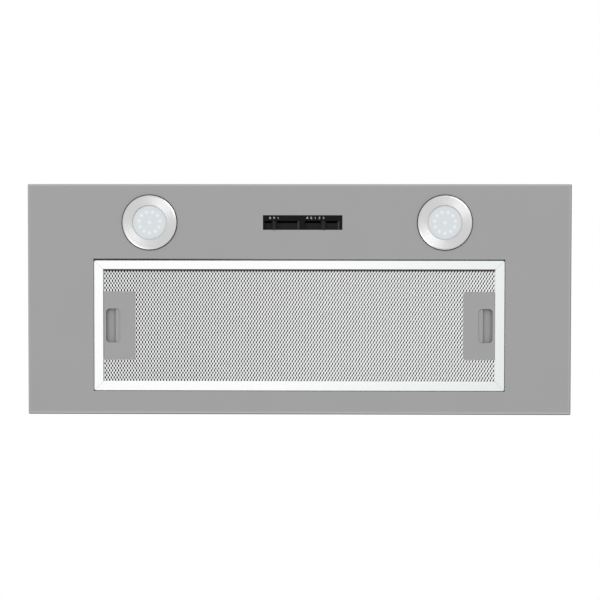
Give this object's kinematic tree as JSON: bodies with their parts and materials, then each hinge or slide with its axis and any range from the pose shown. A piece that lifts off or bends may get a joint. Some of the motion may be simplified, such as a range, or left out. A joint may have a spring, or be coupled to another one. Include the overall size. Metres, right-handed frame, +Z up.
{
  "type": "built-in range hood",
  "caption": "Built-in canopy range hood: flat face with mesh grease filter, sliding latches, round lamps and a slider switch, under a sheet housing with blower and duct collar.",
  "frame": {"origin": "centre of the plane where the face panel's rim meets the underside of the cabinet", "axes": "+Z up towards the duct, -Y towards the cook, +X to the right of the view from below with the cook's side up"},
  "size_m": [0.7, 0.2972, 0.2714],
  "materials": {
    "silver_paint": "matte",
    "galvanised_sheet": "satin",
    "zinc_fastener": "satin",
    "spring_steel": "satin",
    "filter_rail": "satin",
    "filter_mesh": "satin",
    "latch_grey": "matte",
    "lamp_metal": "brushed",
    "lamp_lens": "frosted",
    "lamp_shell": "satin",
    "circuit_board": "matte",
    "black_rubber": "matte",
    "black_plastic": "matte",
    "white_plastic": "satin",
    "motor_steel": "satin",
    "lead_sheath": "matte"
  },
  "bodies": {
    "hood": {"face_panel": "silver_paint", "housing_wrapper": "galvanised_sheet", "left_end_plate": "galvanised_sheet", "right_end_plate": "galvanised_sheet", "housing_rivets": "zinc_fastener", "blower_box": "galvanised_sheet", "sheet_screws": "zinc_fastener", "outlet_collar": "black_plastic", "flap_pin": "spring_steel", "left_cabinet_clip": "spring_steel", "right_cabinet_clip": "spring_steel", "scroll_left_half": "black_plastic", "scroll_right_half": "black_plastic", "inlet_guard": "zinc_fastener", "motor_spider": "galvanised_sheet", "spider_grommets": "black_rubber", "motor_rear_bell": "motor_steel", "motor_stator": "motor_steel", "motor_front_bell": "motor_steel", "motor_bearings": "spring_steel", "terminal_box": "black_plastic", "terminal_lid": "black_plastic", "terminal_block": "white_plastic", "cable_gland": "black_plastic", "motor_capacitor": "white_plastic", "led_driver": "white_plastic", "lamp_leads": "lead_sheath", "main_leads": "lead_sheath", "lead_grommets": "black_rubber", "switch_housing": "black_plastic", "switch_board": "circuit_board", "left_lamp_bezel": "lamp_metal", "right_lamp_bezel": "lamp_metal", "left_lamp_lens": "lamp_lens", "right_lamp_lens": "lamp_lens", "lamp_boards": "circuit_board", "lamp_leds": "white_plastic", "lamp_bodies": "lamp_shell", "lamp_gaskets": "black_rubber", "lamp_clips": "spring_steel"},
    "grease_filter": {"filter_left_rail": "filter_rail", "filter_right_rail": "filter_rail", "filter_front_rail": "filter_rail", "filter_back_rail": "filter_rail", "filter_mesh_front": "filter_mesh", "filter_mesh_core": "filter_mesh", "filter_mesh_back": "filter_mesh", "latch_covers": "latch_grey", "latch_trays": "latch_grey", "left_latch_spring": "spring_steel", "right_latch_spring": "spring_steel"},
    "left_latch": {"left_latch_bolt": "latch_grey"},
    "right_latch": {"right_latch_bolt": "latch_grey"},
    "light_switch": {"light_slider": "black_plastic"},
    "fan_switch": {"fan_slider": "black_plastic"},
    "blower_rotor": {"blower_wheel": "black_plastic", "motor_rotor": "motor_steel", "motor_shaft": "spring_steel"},
    "front_damper": {"front_flap": "black_plastic"},
    "back_damper": {"back_flap": "black_plastic"}
  },
  "joints": [
    {"name": "filter_drop", "type": "slide", "parent": "hood", "child": "grease_filter", "axis": [0, 0, -1], "range_m": [0, 0.12]},
    {"name": "left_latch_pull", "type": "slide", "parent": "grease_filter", "child": "left_latch", "axis": [1, 0, 0], "range_m": [0, 0.008], "stiffness_N_per_m": 300, "springref_m": -0.004, "deforming": ["left_latch_spring"]},
    {"name": "right_latch_pull", "type": "slide", "parent": "grease_filter", "child": "right_latch", "axis": [-1, 0, 0], "range_m": [0, 0.008], "stiffness_N_per_m": 300, "springref_m": -0.004, "deforming": ["right_latch_spring"]},
    {"name": "light_slide", "type": "slide", "parent": "hood", "child": "light_switch", "axis": [1, 0, 0], "range_m": [-0.0052, 0.0052]},
    {"name": "fan_speed_slide", "type": "slide", "parent": "hood", "child": "fan_switch", "axis": [1, 0, 0], "range_m": [-0.0156, 0]},
    {"name": "blower_spin", "type": "hinge", "parent": "hood", "child": "blower_rotor", "pos_m": [0, 0.03075, 0.106], "axis": [1, 0, 0], "continuous": true},
    {"name": "front_flap_swing", "type": "hinge", "parent": "hood", "child": "front_damper", "pos_m": [0, -0.00625, 0.2098], "axis": [-1, 0, 0], "range_deg": [0, 75]},
    {"name": "back_flap_swing", "type": "hinge", "parent": "hood", "child": "back_damper", "pos_m": [0, -0.00625, 0.2098], "axis": [1, 0, 0], "range_deg": [0, 75]}
  ]
}
